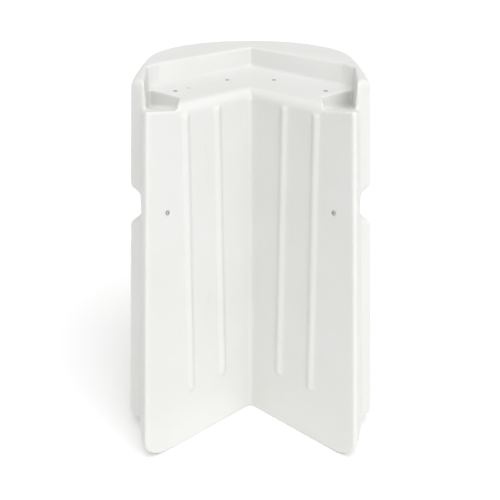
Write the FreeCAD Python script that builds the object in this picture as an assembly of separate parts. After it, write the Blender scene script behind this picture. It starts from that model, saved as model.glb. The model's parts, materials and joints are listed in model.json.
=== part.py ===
import FreeCAD, Part
import math
import os

# Corner unit of a water filled barrier, rotomoulded in one hollow piece, with its
# screw fittings.  Millimetres, +Z up, the notch opens towards -Y.
# The plan is drawn with the notch corner at (0, 0) and moved back by notch_y at the end.

V = FreeCAD.Vector
out_dir = "parts"
os.makedirs(out_dir, exist_ok=True)

# overall
height = 1000.0
wall = 5.0
notch_y = -99.0
taper = 0.0557

# plan at floor level, before taper
half_width = 346.6
rear_y = 476.7
flank_y = -50.0
front_flank_radius = 800.0
rear_flank_radius = 2600.0
corner_radius = 270.0
back_radius = 410.0
tip_along = 391.3
tip_taper = 0.0595
tip_radius_least = 7.0
notch_radius = 12.0

# the belts stand proud of the core, and end in slanted faces behind the wing tips
core_inset = 27.0
step_low_y = -136.0
step_high_y = -106.0
step_back_y = -90.0

# profile by height
base_round = 56.0
base_round_run = 74.0
belt_foot = 31.0
belt_foot_top = 53.0
groove_foot = 572.0
groove_foot_top = 614.0
step_groove_foot = 631.0
step_groove_foot_top = 650.0
groove_head = 705.0
groove_head_depth = 24.0
groove_top = 730.0
belt_top = 981.0
belt_round = 19.0

# deck
deck_z = 951.0
deck_apex_y = 283.0
deck_corner_x = 236.0
deck_corner_y = 46.0
deck_side_x = 262.0
deck_side_y = 18.0
rim_apex_y = 306.0
rim_corner_x = 240.0
rim_corner_y = 88.0
rim_side_x = 267.0
rim_side_y = 38.0
side_lean = 0.065
lip_radius = 25.0
lip_clear = 9.0

# corner pockets at the wing tips
pocket_along = 190.0
pocket_lean = 0.19
pocket_floor_z = 930.0
pocket_slope = 0.15
pocket_fall = 0.13
pocket_inner_x = 176.0

# ribs on the notch walls
rib_radius = 14.0
rib_height = 6.5
rib_foot_z = 151.0
inner_rib_along_top = 118.0
inner_rib_along_foot = 112.0
outer_rib_along_top = 222.0
outer_rib_along_foot = 230.0

# fittings
gap = 0.3
fill_z = 880.0
fill_floor_y = 410.0
fill_pocket_radius = 60.0
fill_bore = 30.0
fill_barrel = 36.0
fill_flange = 43.0
fill_length = 22.0
drain_z = 68.0
drain_floor_y = 432.0
drain_pocket_radius = 30.0
drain_bore = 13.0
drain_barrel = 18.0
drain_flange = 22.0
drain_length = 18.0
flange_thick = 3.0
seal_thick = 2.0
collar_wide = 4.0
cap_skirt_wall = 5.0
cap_head = 6.0
cap_dish = 4.0
cap_notches = 12
cap_notch_radius = 4.5
grip_thick = 9.0
plug_wall = 4.0
plug_head = 3.0
plug_hex_radius = 14.0
plug_hex_height = 6.0
insert_spots = ((62.0, 103.0), (190.0, -22.0))
insert_radius = 5.5
insert_bore = 3.0
insert_length = 22.0
insert_collar = 2.5
blind_end = 3.0
vent_x = -157.0
vent_y = 11.0
vent_radius = 6.0
vent_bore = 3.5
vent_length = 10.0
wing_hole_along = 287.0
wing_hole_z = 690.0
wing_insert_radius = 6.0
wing_insert_bore = 4.0
wing_insert_length = 24.0
root2 = math.sqrt(2.0)


def on_wall(along, depth):
    """Plan point of the right notch wall: distance along it, depth behind its face."""
    return V((along + depth) / root2, (depth - along) / root2, 0)


def towards(centre, point, radius):
    """Point at the given radius from the centre, in the direction of another point."""
    ray = point - centre
    return centre + ray * (radius / ray.Length)


def middle(centre, first, last, radius):
    """Point halfway round the short arc between two points of a circle."""
    return towards(centre, (first + last) * 0.5, radius)


def corner_centre(flank_centre, back_centre):
    """Centre of the corner arc that touches both the flank circle and the back circle."""
    a = rear_flank_radius - corner_radius
    b = back_radius - corner_radius
    line = back_centre - flank_centre
    span = line.Length
    reach = (a * a - b * b + span * span) / (2 * span)
    rise = math.sqrt(a * a - reach * reach)
    unit = line * (1 / span)
    return flank_centre + unit * reach + V(-unit.y, unit.x, 0) * rise


def tip_circle(z, flank_centre, radius, depth):
    """Distance along the notch wall and radius of the rounded wing tip."""
    along = tip_along - tip_taper * z
    fd = (flank_centre.x - flank_centre.y) / root2
    fn = (flank_centre.x + flank_centre.y) / root2
    free = radius ** 2 - (along - fd) ** 2 - (depth - fn) ** 2
    tip = free / (2 * (depth - fn + radius))
    if tip < tip_radius_least:
        tip = tip_radius_least
        along = fd + math.sqrt((radius - tip) ** 2 - (depth + tip - fn) ** 2)
    return along, tip


def on_flank(full, inset, y):
    """Point of the front part of the side wall, at the given plan Y."""
    radius = front_flank_radius - inset
    rise = y - flank_y
    return V(full - front_flank_radius + math.sqrt(radius ** 2 - rise ** 2), y, 0)


def plan(z, inset, step_inset, tip_inset, depth):
    """Closed outline at height z, with its sides, belt ends, wing tips and notch walls set in."""
    full = half_width - taper * z
    front_centre = V(full - front_flank_radius, flank_y, 0)
    side_centre = V(full - rear_flank_radius, flank_y, 0)
    back_centre = V(0, rear_y - taper * z - back_radius, 0)
    round_centre = corner_centre(side_centre, back_centre)
    front_r = front_flank_radius - inset
    tip_flank_r = front_flank_radius - tip_inset
    side_r = rear_flank_radius - inset
    corner_r = corner_radius - inset
    back_r = back_radius - inset
    along, tip_r = tip_circle(z, front_centre, tip_flank_r, depth)
    tip_centre = on_wall(along, depth + tip_r)

    start = on_wall(notch_radius, depth)
    wall_end = on_wall(along, depth)
    tip_end = towards(front_centre, tip_centre, tip_flank_r)
    step_low = on_flank(full, tip_inset, step_low_y)
    step_high = on_flank(full, step_inset, step_high_y)
    step_back = on_flank(full, inset, step_back_y)
    widest = V(full - inset, flank_y, 0)
    side_end = towards(side_centre, round_centre, side_r)
    corner_end = towards(back_centre, round_centre, back_r)
    rear = back_centre + V(0, back_r, 0)

    half = [
        (start, None, wall_end),
        (wall_end, middle(tip_centre, wall_end, tip_end, tip_r), tip_end),
        (tip_end, middle(front_centre, tip_end, step_low, tip_flank_r), step_low),
        (step_low, None, step_high),
        (step_high, None, step_back),
        (step_back, middle(front_centre, step_back, widest, front_r), widest),
        (widest, middle(side_centre, widest, side_end, side_r), side_end),
        (side_end, middle(round_centre, side_end, corner_end, corner_r), corner_end),
        (corner_end, middle(back_centre, corner_end, rear, back_r), rear),
    ]
    notch_low = V(0, notch_radius + depth - notch_radius * root2, 0)
    pieces = [(flipped(start), notch_low, start)]
    pieces += half
    pieces += [(flipped(c), flipped(b), flipped(a)) for a, b, c in reversed(half)]
    return Part.Wire([edge(z, *piece) for piece in pieces])


def flipped(point):
    if point is None:
        return None
    return V(-point.x, point.y, point.z)


def edge(z, first, mid, last):
    lift = V(0, 0, z)
    if mid is None:
        return Part.makeLine(first + lift, last + lift)
    return Part.Arc(first + lift, mid + lift, last + lift).toShape()


def smooth(share):
    share = min(max(share, 0.0), 1.0)
    return share * share * (3 - 2 * share)


def rounding(share):
    """Part of a quarter circle's radius lost at this share of its height."""
    return 1 - math.sqrt(max(0.0, 1 - share * share))


def core_at(z):
    """How far the core stands in from the belts: rounded at the foot and at the top."""
    if z < base_round:
        return core_inset + base_round_run * rounding(1 - z / base_round)
    if z > belt_top:
        return core_inset + belt_round * rounding((z - belt_top) / belt_round)
    return core_inset


def belts_at(z, foot, foot_top):
    """How far the belted wall stands in at height z; the groove starts between foot and foot_top."""
    if z < belt_foot:
        return core_at(z)
    if z < belt_foot_top:
        return core_at(belt_foot) * (1 - smooth((z - belt_foot) / (belt_foot_top - belt_foot)))
    if z < foot:
        return 0.0
    if z < foot_top:
        return core_inset * (z - foot) / (foot_top - foot)
    if z < groove_head:
        return core_inset + (groove_head_depth - core_inset) * (z - foot_top) / (groove_head - foot_top)
    if z < groove_top:
        return groove_head_depth * (1 - smooth((z - groove_head) / (groove_top - groove_head)))
    if z < belt_top:
        return 0.0
    return belt_round * rounding((z - belt_top) / belt_round)


def spread(low, high, count):
    return [low + (high - low) * i / count for i in range(count)]


def loft(wires):
    """Ruled solid through the wires, with its faces turned outwards."""
    solid = Part.makeLoft(wires, True, True)
    if solid.Volume < 0:
        solid.reverse()
    return solid


def stack(levels, extra, depth):
    """Solid through the outlines at the given heights."""
    wires = []
    for z in levels:
        side = belts_at(z, groove_foot, groove_foot_top) + extra
        step = belts_at(z, step_groove_foot, step_groove_foot_top) + extra
        wires.append(plan(z, side, step, core_at(z) + extra, depth))
    return loft(wires)


def outer_levels():
    levels = [base_round * (1 - math.cos(math.radians(a))) for a in (0, 15, 30, 45, 60)]
    levels += spread(belt_foot, belt_foot_top, 5)
    levels += [belt_foot_top]
    levels += [groove_foot, groove_foot_top, step_groove_foot, step_groove_foot_top]
    levels += spread(groove_head, groove_top, 6)
    levels += [groove_top]
    levels += [belt_top + belt_round * math.sin(math.radians(a)) for a in range(0, 91, 18)]
    return levels


def inner_levels():
    levels = [wall, belt_foot - 9.0, belt_foot, belt_foot_top]
    levels += [groove_foot, groove_foot_top, step_groove_foot, step_groove_foot_top]
    levels += [groove_head, groove_top, belt_top, height - wall]
    return levels


def deck_space(grow):
    """Space above the deck, inside the rim."""
    far = -600.0
    rings = []
    for z, apex, corner_x, corner_y, side_x, side_y in (
            (deck_z - grow, deck_apex_y, deck_corner_x, deck_corner_y, deck_side_x, deck_side_y),
            (height + 1.0, rim_apex_y, rim_corner_x, rim_corner_y, rim_side_x, rim_side_y)):
        ring = [(0.0, apex + root2 * grow), (corner_x + 0.7 * grow, corner_y + 0.7 * grow)]
        ring += [(side_x + grow, side_y + 0.4 * grow), (side_x + grow + side_lean * (far - side_y), far)]
        ring += [(-x, y) for x, y in reversed(ring[1:])]
        rings.append(Part.makePolygon([V(x, y, z) for x, y in ring + ring[:1]]))
    return loft(rings)


def wall_prism(points, along_low, along_high):
    """Solid along the right notch wall; the points are (depth behind the wall, height)."""
    base = on_wall(along_low, 0)
    normal = V(1 / root2, 1 / root2, 0)
    ring = [base + normal * d + V(0, 0, z) for d, z in points + points[:1]]
    face = Part.Face(Part.makePolygon(ring))
    run = on_wall(along_high, 0) - base
    return face.extrude(run)


def mirrored(shape):
    return shape.mirror(V(0, 0, 0), V(1, 0, 0))


def lip_space(grow):
    """What the rounded front edge of the deck takes off, right side."""
    z_low = deck_z - lip_radius
    radius = lip_radius - grow
    top = deck_z + lip_clear
    ring = [(-lip_clear, z_low), (lip_radius, z_low), (lip_radius, top), (-lip_clear, top)]
    block = wall_prism(ring, -60.0, (pocket_inner_x - 1.0) * root2)
    centre = on_wall(-80.0, lip_radius) + V(0, 0, z_low)
    rod = Part.makeCylinder(radius, 500.0, centre, V(1 / root2, -1 / root2, 0))
    keep = Part.makeBox(400, 800, 200, V(0, -500, z_low - 50))
    return block.cut(rod).common(keep)


def pocket_space(grow):
    """Pocket beside the right wing tip: steep facet inside, floor falling back from the notch wall."""
    foot = pocket_along - grow
    run = 190.0
    top = height + 5.0
    rings = []
    for depth in (-60.0, 360.0):
        floor = pocket_floor_z - grow * 1.05 - pocket_fall * depth
        ring = [(foot, floor), (foot + run, floor + run * pocket_slope), (foot + run, top),
                (foot - (top - pocket_floor_z) * pocket_lean, top)]
        rings.append(Part.makePolygon([on_wall(a, depth) + V(0, 0, z) for a, z in ring + ring[:1]]))
    wedge = loft(rings)
    x_low = pocket_inner_x - grow
    x_high = deck_side_x + grow
    back = deck_side_y + 40.0
    front = step_low_y + grow
    far = -600.0
    ring = [(x_low, back), (x_high + side_lean * (back - deck_side_y), back),
            (x_high + side_lean * (front - deck_side_y), front), (-far, front), (-far, far), (x_low, far)]
    face = Part.Face(Part.makePolygon([V(x, y, deck_z - 150.0) for x, y in ring + ring[:1]]))
    return wedge.common(face.extrude(V(0, 0, 300.0)))


def rib(along_top, along_foot):
    """Raised rib on the right notch wall, rounded across, with a round lower end."""
    depth = rib_radius - rib_height
    low = on_wall(along_foot, depth) + V(0, 0, rib_foot_z + rib_radius)
    high = on_wall(along_top, depth) + V(0, 0, deck_z - lip_radius - 1.0)
    run = high - low
    rod = Part.makeCylinder(rib_radius, run.Length, low, run)
    return rod.fuse(Part.makeSphere(rib_radius, low))


def rod_y(radius, y_low, y_high, z):
    return Part.makeCylinder(radius, y_high - y_low, V(0, y_low, z), V(0, 1, 0))


def rod_z(radius, z_low, z_high, x, y):
    return Part.makeCylinder(radius, z_high - z_low, V(x, y, z_low))


def wing_rod(radius, depth_low, depth_high):
    start = on_wall(wing_hole_along, depth_low) + V(0, 0, wing_hole_z)
    return Part.makeCylinder(radius, depth_high - depth_low, start, V(1, 1, 0))


def body_shell():
    """The hollow moulding: outer form less the same form grown inwards by the wall, with its holes."""
    outer = stack(outer_levels(), 0.0, 0.0)
    outer = outer.cut(deck_space(0.0))
    for piece in (lip_space(0.0), pocket_space(0.0)):
        outer = outer.cut(piece).cut(mirrored(piece))
    inner = stack(inner_levels(), wall, wall)
    inner = inner.cut(deck_space(wall))
    for piece in (lip_space(wall), pocket_space(wall)):
        inner = inner.cut(piece).cut(mirrored(piece))
    far_y = rear_y + 60.0
    for radius, floor, z in ((fill_pocket_radius, fill_floor_y, fill_z),
                             (drain_pocket_radius, drain_floor_y, drain_z)):
        outer = outer.cut(rod_y(radius, floor, far_y, z))
        inner = inner.cut(rod_y(radius + wall, floor - wall, far_y, z))
    for top, foot in ((inner_rib_along_top, inner_rib_along_foot),
                      (outer_rib_along_top, outer_rib_along_foot)):
        piece = rib(top, foot)
        piece = piece.cut(inner)
        outer = outer.fuse(piece).fuse(mirrored(piece))
    shell = outer.cut(inner)
    holes = [rod_y(fill_barrel, fill_floor_y - 3 * wall, fill_floor_y + 1, fill_z)]
    holes += [rod_y(drain_barrel, drain_floor_y - 3 * wall, drain_floor_y + 1, drain_z)]
    for x, y in insert_spots:
        holes += [rod_z(insert_radius, deck_z - 2 * wall, deck_z + 1, s * x, y) for s in (-1, 1)]
    holes += [rod_z(vent_radius, deck_z - 2 * wall, deck_z + 1, vent_x, vent_y)]
    wing_hole = wing_rod(wing_insert_radius, -1, 2 * wall)
    holes += [wing_hole, mirrored(wing_hole)]
    for hole in holes:
        shell = shell.cut(hole)
    return shell


def bush(bore, barrel, flange, length, floor, z):
    """Moulded-in threaded ring with a flange on the pocket floor."""
    ring = rod_y(barrel, floor - length, floor, z)
    ring = ring.fuse(rod_y(flange, floor, floor + flange_thick, z))
    ring = ring.fuse(rod_y(barrel + collar_wide, floor - wall - collar_wide, floor - wall, z))
    ring = ring.removeSplitter()
    return ring.cut(rod_y(bore, floor - length - 1, floor + flange_thick + 1, z))


def seal(bore, flange, floor, z):
    low = floor + flange_thick
    ring = rod_y(flange - seal_thick, low, low + seal_thick, z)
    ring = ring.cut(rod_y(bore, low - 1, low + seal_thick + 1, z))
    return ring


def fill_cap():
    """Screw cap: hollow skirt, dished head with a grip bar and finger notches round its rim."""
    face = fill_floor_y + flange_thick + seal_thick
    top = face + cap_head
    skirt = fill_bore - gap
    foot = fill_floor_y - fill_length + seal_thick
    cap = rod_y(skirt, foot, face, fill_z)
    cap = cap.fuse(rod_y(fill_flange - 1.0, face, top, fill_z))
    cap = cap.cut(rod_y(fill_bore - cap_skirt_wall, foot - 1.0, fill_floor_y + seal_thick, fill_z))
    cap = cap.cut(rod_y(fill_bore - seal_thick, top - cap_dish, top + 1, fill_z))
    grip = Part.makeBox(2 * fill_bore, cap_dish, grip_thick,
                        V(-fill_bore, top - cap_dish - 0.5, fill_z - grip_thick / 2))
    cap = cap.fuse(grip.common(rod_y(fill_bore, top - cap_dish - 1, top, fill_z)))
    notch_ring = fill_flange + 1.5
    for i in range(cap_notches):
        angle = 2 * math.pi * i / cap_notches
        x = notch_ring * math.cos(angle)
        z = fill_z + notch_ring * math.sin(angle)
        cap = cap.cut(Part.makeCylinder(cap_notch_radius, cap_head + 2, V(x, face - 1, z), V(0, 1, 0)))
    return cap.removeSplitter()


def drain_plug():
    """Screw plug: hollow barrel, flat head and a hexagon for a spanner."""
    face = drain_floor_y + flange_thick + seal_thick
    top = face + plug_head
    foot = drain_floor_y - drain_length + seal_thick
    plug = rod_y(drain_bore - gap, foot, face, drain_z)
    plug = plug.fuse(rod_y(drain_flange - 1.0, face, top, drain_z))
    ring = []
    for i in range(7):
        angle = math.radians(60 * i)
        ring.append(V(plug_hex_radius * math.cos(angle), top, drain_z + plug_hex_radius * math.sin(angle)))
    plug = plug.fuse(Part.Face(Part.makePolygon(ring)).extrude(V(0, plug_hex_height, 0)))
    plug = plug.cut(rod_y(drain_bore - plug_wall, foot - 1.0, drain_floor_y + seal_thick, drain_z))
    return plug.removeSplitter()


def deck_inserts():
    """Four blind threaded inserts in the deck."""
    foot = deck_z - insert_length
    solids = []
    for x, y in insert_spots:
        for side in (-1, 1):
            body = rod_z(insert_radius, foot, deck_z, side * x, y)
            under = deck_z - wall
            collar = rod_z(insert_radius + insert_collar, under - blind_end, under, side * x, y)
            body = body.fuse(collar).removeSplitter()
            solids.append(body.cut(rod_z(insert_bore, foot + blind_end, deck_z + 1, side * x, y)))
    return Part.makeCompound(solids)


def vent_bush():
    foot = deck_z - vent_length
    body = rod_z(vent_radius, foot, deck_z, vent_x, vent_y)
    body = body.fuse(rod_z(vent_radius + insert_collar, foot, deck_z - wall, vent_x, vent_y))
    return body.removeSplitter().cut(rod_z(vent_bore, foot - 1, deck_z + 1, vent_x, vent_y))


def vent_plug():
    head = 1.5
    plug = rod_z(vent_bore - gap, deck_z - vent_length + 1, deck_z, vent_x, vent_y)
    plug = plug.fuse(rod_z(vent_radius - 1, deck_z, deck_z + head, vent_x, vent_y)).removeSplitter()
    return plug.cut(rod_z(vent_bore - head, deck_z - vent_length / 2, deck_z + 2, vent_x, vent_y))


def wing_inserts():
    """One blind threaded insert in each notch wall."""
    body = wing_rod(wing_insert_radius, 0.0, wing_insert_length)
    body = body.fuse(wing_rod(wing_insert_radius + insert_collar, wall, wall + blind_end)).removeSplitter()
    body = body.cut(wing_rod(wing_insert_bore, -1.0, wing_insert_length - blind_end - 1))
    return Part.makeCompound([mirrored(body), body])


def save(name, shape):
    shape = shape.copy()
    shape.translate(V(0, notch_y, 0))
    shape.exportStep(os.path.join(out_dir, name + ".step"))
    box = shape.BoundBox
    print(name, shape.isValid(), len(shape.Solids), round(shape.Volume / 1000),
          [round(v, 1) for v in (box.XMin, box.XMax, box.YMin, box.YMax, box.ZMin, box.ZMax)])


save("body_shell", body_shell())
save("fill_neck", bush(fill_bore, fill_barrel, fill_flange, fill_length, fill_floor_y, fill_z))
save("fill_cap", fill_cap())
save("fill_cap_seal", seal(fill_bore, fill_flange, fill_floor_y, fill_z))
save("drain_bush", bush(drain_bore, drain_barrel, drain_flange, drain_length, drain_floor_y, drain_z))
save("drain_plug", drain_plug())
save("drain_plug_seal", seal(drain_bore, drain_flange, drain_floor_y, drain_z))
save("deck_inserts", deck_inserts())
save("vent_bush", vent_bush())
save("vent_plug", vent_plug())
save("wing_inserts", wing_inserts())
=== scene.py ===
import bmesh
import bpy
import json
import math
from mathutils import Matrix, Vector
from mathutils.bvhtree import BVHTree

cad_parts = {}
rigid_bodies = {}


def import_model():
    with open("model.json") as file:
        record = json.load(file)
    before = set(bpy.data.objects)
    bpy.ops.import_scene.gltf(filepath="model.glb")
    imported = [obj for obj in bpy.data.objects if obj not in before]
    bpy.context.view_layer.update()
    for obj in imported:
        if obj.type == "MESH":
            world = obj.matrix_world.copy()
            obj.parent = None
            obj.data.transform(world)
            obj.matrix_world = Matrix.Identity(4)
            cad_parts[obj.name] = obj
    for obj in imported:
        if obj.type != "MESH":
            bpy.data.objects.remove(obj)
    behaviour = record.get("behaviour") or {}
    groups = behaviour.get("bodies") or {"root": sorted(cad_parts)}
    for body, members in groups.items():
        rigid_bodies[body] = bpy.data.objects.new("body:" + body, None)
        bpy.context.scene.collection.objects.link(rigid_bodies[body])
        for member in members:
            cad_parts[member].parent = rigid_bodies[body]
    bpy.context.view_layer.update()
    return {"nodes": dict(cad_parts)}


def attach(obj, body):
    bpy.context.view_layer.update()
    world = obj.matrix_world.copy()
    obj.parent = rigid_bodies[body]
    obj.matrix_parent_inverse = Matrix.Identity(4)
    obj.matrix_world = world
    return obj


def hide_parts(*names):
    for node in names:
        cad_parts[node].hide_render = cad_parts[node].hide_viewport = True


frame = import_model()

nodes = frame["nodes"]
print("frame loaded:", len(nodes), "nodes")


def newMaterial(name):
    mat = bpy.data.materials.new(name)
    mat.use_nodes = True
    tree = mat.node_tree
    tree.nodes.clear()
    out = tree.nodes.new("ShaderNodeOutputMaterial")
    shader = tree.nodes.new("ShaderNodeBsdfPrincipled")
    tree.links.new(shader.outputs["BSDF"], out.inputs["Surface"])
    return mat, tree, shader


def objectCoords(tree):
    return tree.nodes.new("ShaderNodeTexCoord").outputs["Object"]


def noise(tree, coords, scale, detail=3.0, rough=0.5, stretch=None):
    if stretch:
        mapping = tree.nodes.new("ShaderNodeMapping")
        mapping.inputs["Scale"].default_value = stretch
        tree.links.new(coords, mapping.inputs["Vector"])
        coords = mapping.outputs["Vector"]
    node = tree.nodes.new("ShaderNodeTexNoise")
    node.inputs["Scale"].default_value = scale
    node.inputs["Detail"].default_value = detail
    node.inputs["Roughness"].default_value = rough
    tree.links.new(coords, node.inputs["Vector"])
    return node.outputs["Fac"]


def remap(tree, value, low, high, fromLow=0.3, fromHigh=0.7):
    node = tree.nodes.new("ShaderNodeMapRange")
    node.inputs["From Min"].default_value = fromLow
    node.inputs["From Max"].default_value = fromHigh
    node.inputs["To Min"].default_value = low
    node.inputs["To Max"].default_value = high
    tree.links.new(value, node.inputs["Value"])
    return node.outputs["Result"]


def mixColour(tree, factor, first, second):
    node = tree.nodes.new("ShaderNodeMix")
    node.data_type = "RGBA"
    tree.links.new(factor, node.inputs["Factor"])
    for slot, colour in ((6, first), (7, second)):  # the colour sockets A and B
        if isinstance(colour, tuple):
            node.inputs[slot].default_value = (*colour, 1.0)
        else:
            tree.links.new(colour, node.inputs[slot])
    return node.outputs[2]  # the colour result


def maths(tree, kind, first, second):
    node = tree.nodes.new("ShaderNodeMath")
    node.operation = kind
    for slot, value in ((0, first), (1, second)):
        if isinstance(value, (int, float)):
            node.inputs[slot].default_value = value
        else:
            tree.links.new(value, node.inputs[slot])
    return node.outputs[0]


def bump(tree, shader, height, strength, distance):
    node = tree.nodes.new("ShaderNodeBump")
    node.inputs["Strength"].default_value = strength
    node.inputs["Distance"].default_value = distance
    tree.links.new(height, node.inputs["Height"])
    tree.links.new(node.outputs["Normal"], shader.inputs["Normal"])


def dress(obj, mat):
    obj.data.materials.clear()
    obj.data.materials.append(mat)


body = {
    "voxel": 0.0036,            # metres, size of the facets of the skin
    "softening": 4,             # passes that round the moulded edges
    "softenBy": 0.5,
    "weldWithin": 0.00002,      # metres, points closer than this become one
    "lookLeans": (0.6, 1.05),   # radians off the face's normal, when looking for open air
    "lookTurns": 8,             # directions tried at each lean
    "lookLift": 0.0002,         # metres off the face, where the look starts
    "bigBore": 0.01,            # radius past which a bore stays deep
    "boreDepth": 0.06,          # how deep the filler and the drain are seen into
    "white": (0.705, 0.705, 0.695),
    "warm": (0.685, 0.686, 0.662),
    "scuff": (0.61, 0.61, 0.585),
    "cloudScale": 5.0,          # soft patches, white against warm
    "speckScale": 190.0,
    "speckAmount": 0.25,
    "rubScale": 26.0,           # rubs run up and down the walls
    "rubStretch": (1.0, 1.0, 0.25),
    "rubAmount": 0.5,
    "roughness": (0.42, 0.56),
    "roughScale": 11.0,
    "rubRoughness": 0.12,       # rubbed places shine less
    "glow": 0.35,               # light passing under the surface
    "glowDepth": 0.012,
    "glowSpread": (1.0, 1.0, 0.85),  # red, green and blue light, against that depth
    "peel": 0.0004,             # depth of the orange-peel texture
    "peelStrength": 0.35,
    "peelScale": 240.0,
    "waveScale": 38.0,          # wider unevenness below the orange peel
    "waveAmount": 0.8,
}


def polyethylene(name, settings):
    mat, tree, shader = newMaterial(name)
    coords = objectCoords(tree)
    cloud = noise(tree, coords, settings["cloudScale"], 4.0, 0.55)
    cloud = remap(tree, cloud, 0.0, 1.0, 0.35, 0.68)
    speck = noise(tree, coords, settings["speckScale"], 2.0, 0.6)
    speck = remap(tree, speck, 0.0, 1.0, 0.62, 0.74)
    speck = maths(tree, "MULTIPLY", speck, settings["speckAmount"])
    rubs = noise(tree, coords, settings["rubScale"], 6.0, 0.7, settings["rubStretch"])
    rubs = remap(tree, rubs, 0.0, settings["rubAmount"], 0.62, 0.78)
    colour = mixColour(tree, cloud, settings["white"], settings["warm"])
    colour = mixColour(tree, rubs, colour, settings["scuff"])
    colour = mixColour(tree, speck, colour, settings["scuff"])
    tree.links.new(colour, shader.inputs["Base Color"])
    patches = noise(tree, coords, settings["roughScale"], 5.0, 0.6)
    patches = remap(tree, patches, *settings["roughness"])
    rubbed = maths(tree, "MULTIPLY", rubs, settings["rubRoughness"])
    tree.links.new(maths(tree, "ADD", patches, rubbed), shader.inputs["Roughness"])
    shader.inputs["IOR"].default_value = 1.5
    shader.inputs["Specular IOR Level"].default_value = 0.4
    shader.inputs["Subsurface Weight"].default_value = settings["glow"]
    shader.inputs["Subsurface Radius"].default_value = settings["glowSpread"]
    shader.inputs["Subsurface Scale"].default_value = settings["glowDepth"]
    peel = noise(tree, coords, settings["peelScale"], 2.0, 0.5)
    wave = noise(tree, coords, settings["waveScale"], 3.0, 0.5)
    wave = maths(tree, "MULTIPLY", wave, settings["waveAmount"])
    height = maths(tree, "ADD", peel, wave)
    bump(tree, shader, height, settings["peelStrength"], settings["peel"])
    return mat


def looksOut(face, tree):
    # a face of the outside sees the open air in at least two directions
    normal = face.normal
    side = normal.orthogonal().normalized()
    other = normal.cross(side)
    start = face.calc_center_median() + normal * body["lookLift"]
    seen = 1 if tree.ray_cast(start, normal)[0] is None else 0
    for lean in body["lookLeans"]:
        for step in range(body["lookTurns"]):
            turn = step * 2.0 * math.pi / body["lookTurns"]
            flat = side * math.cos(turn) + other * math.sin(turn)
            ray = normal * math.cos(lean) + flat * math.sin(lean)
            if tree.ray_cast(start, ray)[0] is None:
                seen += 1
            if seen > 1:
                return True
    return False


def openRims(mesh):
    # the open edges, one list for each bore
    left = {e for e in mesh.edges if e.is_boundary}
    rims = []
    while left:
        group = [left.pop()]
        for edge in group:
            for vert in edge.verts:
                for near in vert.link_edges:
                    if near in left:
                        left.remove(near)
                        group.append(near)
        rims.append(group)
    return rims


def closeBores(mesh):
    # the big bores stay deep, the small ones end just under the skin
    rims = openRims(mesh)
    for group in rims:
        verts = list({v for e in group for v in e.verts})
        middle = sum((v.co for v in verts), Vector()) / len(verts)
        radius = max((v.co - middle).length for v in verts)
        if radius > body["bigBore"]:
            grown = bmesh.ops.extrude_edge_only(mesh, edges=group)["geom"]
            moved = [g for g in grown if isinstance(g, bmesh.types.BMVert)]
            bmesh.ops.translate(mesh, verts=moved, vec=(0.0, -body["boreDepth"], 0.0))
            edges = [g for g in grown if isinstance(g, bmesh.types.BMEdge)]
            group = [e for e in edges if e.is_boundary]
        bmesh.ops.holes_fill(mesh, edges=group, sides=0)
    print("bores closed:", len(rims))


def outsideOnly(data):
    # the water space inside is left out of the skin
    mesh = bmesh.new()
    mesh.from_mesh(data)
    bmesh.ops.remove_doubles(mesh, verts=mesh.verts, dist=body["weldWithin"])
    tree = BVHTree.FromBMesh(mesh)
    inside = [f for f in mesh.faces if not looksOut(f, tree)]
    print("cavity faces dropped:", len(inside), "of", len(mesh.faces))
    bmesh.ops.delete(mesh, geom=inside, context="FACES")
    closeBores(mesh)
    mesh.to_mesh(data)
    mesh.free()


def buildBody():
    source = nodes["body_shell"]
    skin = bpy.data.objects.new("moulded_body", source.data.copy())
    outsideOnly(skin.data)
    bpy.context.scene.collection.objects.link(skin)
    skin.matrix_world = source.matrix_world.copy()
    remesh = skin.modifiers.new("skin", "REMESH")
    remesh.mode = "VOXEL"
    remesh.voxel_size = body["voxel"]
    remesh.use_smooth_shade = True
    soften = skin.modifiers.new("soften", "SMOOTH")
    soften.factor = body["softenBy"]
    soften.iterations = body["softening"]
    dress(skin, polyethylene("natural_white_polyethylene", body))
    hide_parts("body_shell")
    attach(skin, "shell")
    return skin


skin = buildBody()
graph = bpy.context.evaluated_depsgraph_get()
evaluated = skin.evaluated_get(graph).to_mesh()
print("moulded body:", len(evaluated.vertices), "vertices", len(evaluated.polygons), "faces")


fittings = {
    "white": (0.74, 0.74, 0.72),
    "shade": (0.68, 0.68, 0.655),
    "roughness": (0.30, 0.42),
    "tintScale": 18.0,
    "roughScale": 45.0,
    "glow": 0.2,                # light passing under the surface
    "glowDepth": 0.004,
    "grain": 0.0002,            # depth of the fine grain
    "grainScale": 420.0,
    "grainStrength": 0.2,
}


def mouldedWhite(name, settings):
    mat, tree, shader = newMaterial(name)
    coords = objectCoords(tree)
    tint = remap(tree, noise(tree, coords, settings["tintScale"], 4.0), 0.0, 1.0)
    colour = mixColour(tree, tint, settings["white"], settings["shade"])
    tree.links.new(colour, shader.inputs["Base Color"])
    patches = noise(tree, coords, settings["roughScale"], 4.0)
    patches = remap(tree, patches, *settings["roughness"])
    tree.links.new(patches, shader.inputs["Roughness"])
    shader.inputs["Subsurface Weight"].default_value = settings["glow"]
    shader.inputs["Subsurface Scale"].default_value = settings["glowDepth"]
    grain = noise(tree, coords, settings["grainScale"], 2.0)
    bump(tree, shader, grain, settings["grainStrength"], settings["grain"])
    return mat


seals = {
    "black": (0.018, 0.018, 0.018),
    "dust": (0.07, 0.068, 0.064),
    "dustAmount": 0.6,
    "dustScale": 60.0,
    "roughness": (0.6, 0.85),
    "roughScale": 90.0,
    "grain": 0.0002,
    "grainScale": 700.0,
    "grainStrength": 0.3,
}


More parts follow.
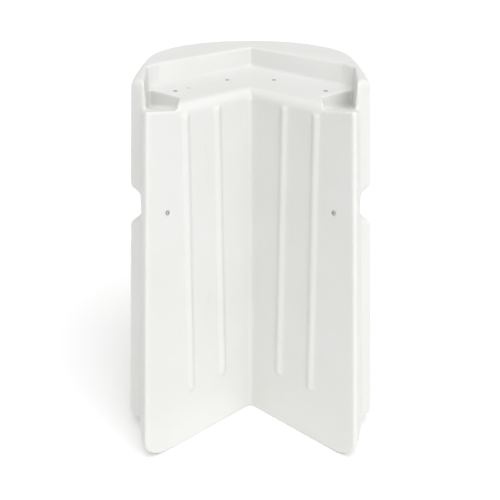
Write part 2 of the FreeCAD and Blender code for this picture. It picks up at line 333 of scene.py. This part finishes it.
def rubber(name, settings):
    mat, tree, shader = newMaterial(name)
    coords = objectCoords(tree)
    dust = noise(tree, coords, settings["dustScale"], 5.0)
    dust = remap(tree, dust, 0.0, settings["dustAmount"])
    colour = mixColour(tree, dust, settings["black"], settings["dust"])
    tree.links.new(colour, shader.inputs["Base Color"])
    patches = noise(tree, coords, settings["roughScale"])
    patches = remap(tree, patches, *settings["roughness"])
    tree.links.new(patches, shader.inputs["Roughness"])
    grain = noise(tree, coords, settings["grainScale"], 2.0)
    bump(tree, shader, grain, settings["grainStrength"], settings["grain"])
    return mat


inserts = {
    "dark": (0.42, 0.42, 0.41),
    "light": (0.56, 0.56, 0.55),
    "roughness": (0.28, 0.45),
    "lineScale": 300.0,         # fine turning lines
    "lineStretch": (1.0, 1.0, 8.0),
    "lineDepth": 0.0001,
    "lineStrength": 0.2,
}


def turnedSteel(name, settings):
    mat, tree, shader = newMaterial(name)
    coords = objectCoords(tree)
    lines = noise(tree, coords, settings["lineScale"], 3.0, 0.6, settings["lineStretch"])
    shade = remap(tree, lines, 0.0, 1.0)
    colour = mixColour(tree, shade, settings["dark"], settings["light"])
    tree.links.new(colour, shader.inputs["Base Color"])
    tree.links.new(remap(tree, lines, *settings["roughness"]), shader.inputs["Roughness"])
    shader.inputs["Metallic"].default_value = 1.0
    bump(tree, shader, lines, settings["lineStrength"], settings["lineDepth"])
    return mat


def dressFittings():
    white = mouldedWhite("moulded_white_fitting", fittings)
    black = rubber("seal_rubber", seals)
    steel = turnedSteel("turned_insert_steel", inserts)
    looks = {
        "fill_neck": white,
        "fill_cap": white,
        "drain_bush": white,
        "drain_plug": white,
        "vent_bush": white,
        "vent_plug": white,
        "fill_cap_seal": black,
        "drain_plug_seal": black,
        "deck_inserts": steel,
        "wing_inserts": steel,
    }
    for name, mat in looks.items():
        dress(nodes[name], mat)


dressFittings()
print("fittings dressed")


studio = {
    "floor": (0.86, 0.86, 0.858),
    "floorShade": 0.995,        # the darker patches, against the pale ones
    "floorPatches": 0.8,        # about this many to a metre
    "floorSize": 60.0,
    "floorGlow": 0.1,           # lifts the floor to plain white
    "skyStrength": 0.60,
    "sunStrength": 2.1,
    "sunFrom": (0.16, -0.48, 0.86),
    "sunSoftness": 55.0,        # degrees
    "frontPower": 15.0,         # watts
    "frontPlace": (2.2, -3.0, 1.2),
    "frontAim": (0.0, 0.0, 0.5),
    "frontSize": 1.6,
}


def buildFloor():
    bpy.ops.mesh.primitive_plane_add(size=studio["floorSize"], location=(0.0, 0.0, 0.0))
    floor = bpy.context.object
    floor.name = "studio_floor"
    mat, tree, shader = newMaterial("pale_floor")
    coords = objectCoords(tree)
    tone = remap(tree, noise(tree, coords, studio["floorPatches"], 2.0), 0.0, 1.0)
    pale = studio["floor"]
    darker = tuple(c * studio["floorShade"] for c in pale)
    tree.links.new(mixColour(tree, tone, pale, darker), shader.inputs["Base Color"])
    shader.inputs["Roughness"].default_value = 0.9
    shader.inputs["Specular IOR Level"].default_value = 0.1
    shader.inputs["Emission Color"].default_value = (1.0, 1.0, 1.0, 1.0)
    shader.inputs["Emission Strength"].default_value = studio["floorGlow"]
    dress(floor, mat)


def buildSky():
    world = bpy.data.worlds.new("studio_world")
    bpy.context.scene.world = world
    bpy.context.scene.view_settings.view_transform = "Standard"  # whites stay white
    world.use_nodes = True
    back = world.node_tree.nodes["Background"]
    back.inputs["Color"].default_value = (1.0, 1.0, 1.0, 1.0)
    back.inputs["Strength"].default_value = studio["skyStrength"]


def addFrontLamp():
    lamp = bpy.data.lights.new("front_lamp", "AREA")
    lamp.energy = studio["frontPower"]
    lamp.size = studio["frontSize"]
    holder = bpy.data.objects.new("front_lamp", lamp)
    bpy.context.scene.collection.objects.link(holder)
    holder.location = studio["frontPlace"]
    toAim = Vector(studio["frontAim"]) - Vector(studio["frontPlace"])
    holder.rotation_euler = toAim.to_track_quat("-Z", "Y").to_euler()


def addSun():
    sun = bpy.data.lights.new("soft_sun", "SUN")
    sun.energy = studio["sunStrength"]
    sun.angle = math.radians(studio["sunSoftness"])
    holder = bpy.data.objects.new("soft_sun", sun)
    bpy.context.scene.collection.objects.link(holder)
    holder.rotation_euler = Vector(studio["sunFrom"]).to_track_quat("Z", "Y").to_euler()


view = {
    "lens": 63.4,
    "sensor": 36.0,
    "pitch": 23.5,              # degrees, looking down
    "side": -0.0015,
    "distance": 2.222,          # from the inner corner of the notch
    "height": 1.469,
    "cornerY": -0.099,          # where that corner stands
}


def addCamera():
    cam = bpy.data.cameras.new("camera")
    cam.lens = view["lens"]
    cam.sensor_width = view["sensor"]
    holder = bpy.data.objects.new("camera", cam)
    bpy.context.scene.collection.objects.link(holder)
    holder.location = (view["side"], view["cornerY"] - view["distance"], view["height"])
    holder.rotation_euler = (math.radians(90.0 - view["pitch"]), 0.0, 0.0)
    bpy.context.scene.camera = holder


buildFloor()
buildSky()
addSun()
addFrontLamp()
addCamera()
print("studio ready")
